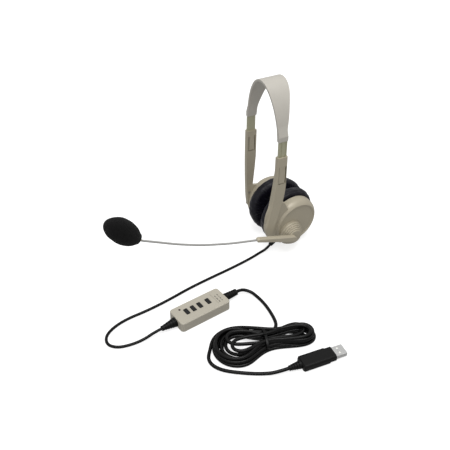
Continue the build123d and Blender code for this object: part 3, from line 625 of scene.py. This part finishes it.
def puffed(piece):
    """Fill a slack cover with air: remesh, cloth under pressure, and a cap on how far it moves."""
    remesh = piece.modifiers.new("remesh", "REMESH")
    remesh.mode = "VOXEL"
    remesh.voxel_size = PUFF_VOXEL * MM
    apply_modifiers(piece)
    rest = [vertex.co.copy() for vertex in piece.data.vertices]
    sim = piece.modifiers.new("puff", "CLOTH")
    settings = sim.settings
    settings.quality = 6
    settings.mass = 0.15
    settings.use_pressure = True
    settings.uniform_pressure_force = 4.0
    settings.tension_stiffness = 12.0
    settings.compression_stiffness = 12.0
    settings.bending_stiffness = 0.3
    settings.effector_weights.gravity = 0.0
    scene = bpy.context.scene
    for number in range(1, PUFF_FRAMES + 1):
        scene.frame_set(number)
    apply_modifiers(piece)
    scene.frame_set(1)
    for vertex, before in zip(piece.data.vertices, rest):
        moved = vertex.co - before
        if moved.length > PUFF_CAP * MM:
            vertex.co = before + moved.normalized() * PUFF_CAP * MM


def apply_modifiers(piece):
    """Replace the mesh by its modified shape."""
    graph = bpy.context.evaluated_depsgraph_get()
    mesh = bpy.data.meshes.new_from_object(piece.evaluated_get(graph))
    old = piece.data
    piece.modifiers.clear()
    piece.data = mesh
    bpy.data.meshes.remove(old)


def pleat(piece, seed):
    """Radial gathers towards the hole, small wrinkles at the rim and a seam round the shoulder."""
    low, high = 0.15, PAD_T - 0.15
    for vertex in piece.data.vertices:
        x, y, z = vertex.co / MM
        radius = max(1e-6, (x * x + y * y) ** 0.5)
        angle = atan2(y, x)
        wobble = noise.noise(Vector((x * 0.10, y * 0.10, seed)))
        gather = sin(angle * GATHERS + wobble * 7.0 + seed)
        near_hole = ease((33.5 - radius) / 5.0) * ease((10.0 - z) / 5.0)
        rim = ease((radius - 28.5) / 2.5)
        crease = noise.noise(Vector((angle * 6.0, z * 0.25, seed + 4.0)))
        seam = -SEAM_DEPTH * max(0.0, 1.0 - abs(z - SEAM_HEIGHT) / 0.9) * rim
        push = GATHER_DEPTH * gather * near_hole * (0.7 + wobble) + 0.6 * crease * rim + seam
        dent = 0.6 * noise.noise(Vector((x * 0.06, y * 0.06, z * 0.06 + seed)))
        outward = Vector((x, y, 0)) / radius * rim + Vector((0, 0, -1)) * (1 - rim) * ease((10.0 - z) / 4.0)
        place = Vector((x, y, z)) + outward * (push + dent * 0.5)
        place.z = min(high, max(low, place.z))
        reach = (place.x ** 2 + place.y ** 2) ** 0.5
        if reach > PAD_R:
            place.x, place.y = place.x * PAD_R / reach, place.y * PAD_R / reach
        if reach < PAD_HOLE_R + 0.15:
            grow = (PAD_HOLE_R + 0.15) / max(reach, 1e-6)
            place.x, place.y = place.x * grow, place.y * grow
        vertex.co = place * MM


def soft_finish(piece):
    shape = piece.modifiers.new("smooth", "SUBSURF")
    shape.levels = 1
    shape.render_levels = 1


def rest_flat(piece):
    """Press what would sink into the surface flat on it."""
    for vertex in piece.data.vertices:
        vertex.co.z = max(SURFACE_Z + 0.1 * MM, vertex.co.z)


def ear_cushion(name, side, body):
    """Ring cushion blown up by a cloth simulation, then gathered, seamed and rested on the surface."""
    piece = mesh_object(name, cushion_blank(), "cushion_skin")
    puffed(piece)
    soft_finish(piece)
    apply_modifiers(piece)
    pleat(piece, 3.0 + side)
    for face in piece.data.polygons:
        face.use_smooth = True
    piece.data.transform(cup_placement(side))
    if side < 0:
        piece.data.flip_normals()
    rest_flat(piece)
    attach(piece, body)
    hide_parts(name.replace("_pad", "_ear_cushion"))


def ear_foam(name, side, body):
    """Thin speaker foam in the cushion's hole, slightly crowned."""
    rim = PAD_HOLE_R - 0.25
    outline = [(0, PAD_T - 0.1), (rim - 0.3, PAD_T - 0.1), (rim, PAD_T - 0.6), (rim, FOAM_RECESS + 2.2)]
    outline += [(rim * cos(a), FOAM_RECESS + 2.0 - 1.9 * sin(a)) for a in (0.25, 0.55, 0.85, 1.1, 1.35)]
    outline += [(0, FOAM_RECESS + 0.1)]
    bm = spun(outline, 72, False)
    for vertex in bm.verts:
        x, y, z = vertex.co / MM
        if z < FOAM_RECESS + 3.0:
            vertex.co.z += 0.3 * MM * noise.noise(Vector((x * 0.2, y * 0.2, side)))
    bm.transform(cup_placement(side))
    piece = mesh_object(name, bm, "ear_foam")
    soft_finish(piece)
    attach(piece, body)
    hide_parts(name + "_disc")


for side, body in ((1, "left_side"), (-1, "right_side")):
    word = "left" if side > 0 else "right"
    ear_cushion(f"{word}_pad", side, body)
    ear_foam(f"{word}_ear_foam", side, body)


MIC_AXIS = Vector((-0.144, -0.742, 0.655)).normalized()
MIC_CENTRE = Vector((30.0, -200.0, 57.3))
SCREEN_HALF = 20.8
SCREEN_R = 13.0


# rows of dashes: distance along the box, then starts and ends across it, in millimetres
MARK_ROWS = (
    (20.0, (-7.2, -4.6, -3.4, -0.2, 1.0, 3.2)),
    (23.4, (-6.4, -5.0, -3.8, -1.6, -0.4, 0.8, 2.0, 4.4)),
)
MARK_WIDTH = 0.7


def printed_marks():
    """Plain printed dashes on the control box, at its plug end."""
    bm = bmesh.new()
    across = Vector((-BOX_U.y, BOX_U.x, 0))
    top = BOX_AT + Vector((0, 0, BOX_H + 0.04))
    for row, spans in MARK_ROWS:
        low, high = row - MARK_WIDTH / 2, row + MARK_WIDTH / 2
        for start, end in zip(spans[::2], spans[1::2]):
            spots = ((low, start), (high, start), (high, end), (low, end))
            bm.faces.new([bm.verts.new((top + BOX_U * along + across * y) * MM) for along, y in spots])
    marks = mesh_object("box_marks", bm, "chip_black", smooth=False)
    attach(marks, "left_side")
    return marks


MARKS = printed_marks()


def windscreen():
    """Foam ball pulled over the microphone: a slightly lumpy egg with a pinched mouth at its tail."""
    outline = [(4.4, -SCREEN_HALF + 3.0), (4.5, -SCREEN_HALF + 0.6), (5.4, -SCREEN_HALF + 0.15)]
    for i in range(1, 40):
        a = pi * i / 40
        height = -SCREEN_HALF * cos(a)
        radius = SCREEN_R * sin(a)
        if radius > 6.0 or height > 0:
            outline.append((radius, height))
    outline.append((0, SCREEN_HALF))
    bm = spun(outline, 96, False)
    for vertex in bm.verts:
        place = vertex.co / MM
        lump = 0.45 * noise.noise(place * 0.10) + 0.16 * noise.noise(place * 0.45 + Vector((7, 3, 1)))
        scale = 1.0 - 0.022 + lump / SCREEN_R
        if place.length > 8.0:
            vertex.co = place * scale * MM
    bm.transform(along_axis(MIC_CENTRE, MIC_AXIS))
    piece = mesh_object("mic_foam_ball", bm, "mic_foam")
    soft_finish(piece)
    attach(piece, "boom")
    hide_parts("mic_windscreen")


windscreen()


STRAP_WIDTH = 2.6
STRAP_THICK = 1.0
STRAP_STEPS = 56             # round the hank
STRAP_TUCK = 7               # further steps, where the end lies over the start
STRAP_R_Y = 12.3
STRAP_R_Z = 6.1
STRAP_MID_Z = 7.0


def hank_strap():
    """Flat strap round the hank's waist with its end tucked over itself."""
    bm = bmesh.new()
    sections = []
    for i in range(STRAP_STEPS + STRAP_TUCK):
        turn = 2 * pi * i / STRAP_STEPS
        lift = 0.9 * ease((i - STRAP_STEPS + 4) / 5.0)
        y = (STRAP_R_Y + lift) * cos(turn + 0.9)
        z = STRAP_MID_Z + (STRAP_R_Z + lift) * sin(turn + 0.9)
        drift = 0.35 * sin(turn * 2 + 1.0)
        y_in = y * (1 - STRAP_THICK / STRAP_R_Y)
        z_in = STRAP_MID_Z + (z - STRAP_MID_Z) * (1 - STRAP_THICK / STRAP_R_Z)
        z, z_in = max(z, 0.15), max(z_in, 0.85)
        corners = []
        for across in (-STRAP_WIDTH / 2, STRAP_WIDTH / 2):
            corners += [(WAIST_X + across + drift, y, z), (WAIST_X + across + drift, y_in, z_in)]
        order = (corners[0], corners[2], corners[3], corners[1])
        sections.append([bm.verts.new(hank_point(*corner) * MM) for corner in order])
    for one, two in zip(sections, sections[1:]):
        for i in range(4):
            j = (i + 1) % 4
            bm.faces.new((one[i], one[j], two[j], two[i]))
    bm.faces.new(sections[0])
    bm.faces.new(sections[-1])
    strap = mesh_object("hank_strap", bm, SLOT_OF["hank_tie"])
    edge = strap.modifiers.new("edge", "BEVEL")
    edge.width = 0.25 * MM
    edge.segments = 2
    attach(strap, "left_side")
    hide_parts("hank_tie")
    return strap


STRAP = hank_strap()


# ---------------------------------------------------------------- stage
FLOOR_HALF = 40


def add_stage():
    """Plain pale paper under the object."""
    bm = bmesh.new()
    for x, y in ((-1, -1), (1, -1), (1, 1), (-1, 1)):
        bm.verts.new((x * FLOOR_HALF, y * FLOOR_HALF, SURFACE_Z))
    bm.faces.new(bm.verts)
    mesh = bpy.data.meshes.new("floor")
    bm.to_mesh(mesh)
    bm.free()
    floor = bpy.data.objects.new("floor", mesh)
    material, tree, shader, where = node_material("floor_paper")
    tone = ramp(tree, noise_at(tree, where, 6.0), [(0.3, grey(0.46)), (0.7, grey(0.48))])
    tree.links.new(tone, shader.inputs["Base Color"])
    shader.inputs["Roughness"].default_value = 0.95
    shader.inputs["Specular IOR Level"].default_value = 0.0
    shader.inputs["Emission Color"].default_value = (1.0, 1.0, 1.0, 1.0)
    shader.inputs["Emission Strength"].default_value = 0.72
    mesh.materials.append(material)
    bpy.context.collection.objects.link(floor)
    # the paper glows to an even white, so it is kept from lighting the object from below
    floor.visible_diffuse = False
    floor.visible_glossy = False


def add_light(name, place, target, size, power):
    data = bpy.data.lights.new(name, "AREA")
    data.size = size
    data.energy = power
    made = bpy.data.objects.new(name, data)
    made.location = place
    made.rotation_euler = (Vector(target) - Vector(place)).to_track_quat("-Z", "Y").to_euler()
    bpy.context.collection.objects.link(made)


def add_lights():
    """Bright overhead sky that dims towards the horizon, a key from above and a weak fill."""
    world = bpy.data.worlds.new("studio")
    world.use_nodes = True
    tree = world.node_tree
    where = tree.nodes.new("ShaderNodeTexCoord").outputs["Generated"]
    height = add_node(tree, "ShaderNodeSeparateXYZ", {"Vector": where}).outputs["Z"]
    sky = ramp(tree, height, [(0.0, grey(0.47)), (0.35, grey(0.64)), (0.8, grey(0.84))])
    tree.links.new(sky, tree.nodes["Background"].inputs["Color"])
    tree.nodes["Background"].inputs["Strength"].default_value = 0.9
    bpy.context.scene.world = world
    middle = (0.06, -0.10, 0.03)
    add_light("key", (0.35, -0.1, 1.5), middle, 0.9, 12.0)
    add_light("fill", (0.9, -1.3, 0.7), middle, 1.2, 2.5)
    bpy.context.scene.view_settings.view_transform = "Standard"


add_stage()
add_lights()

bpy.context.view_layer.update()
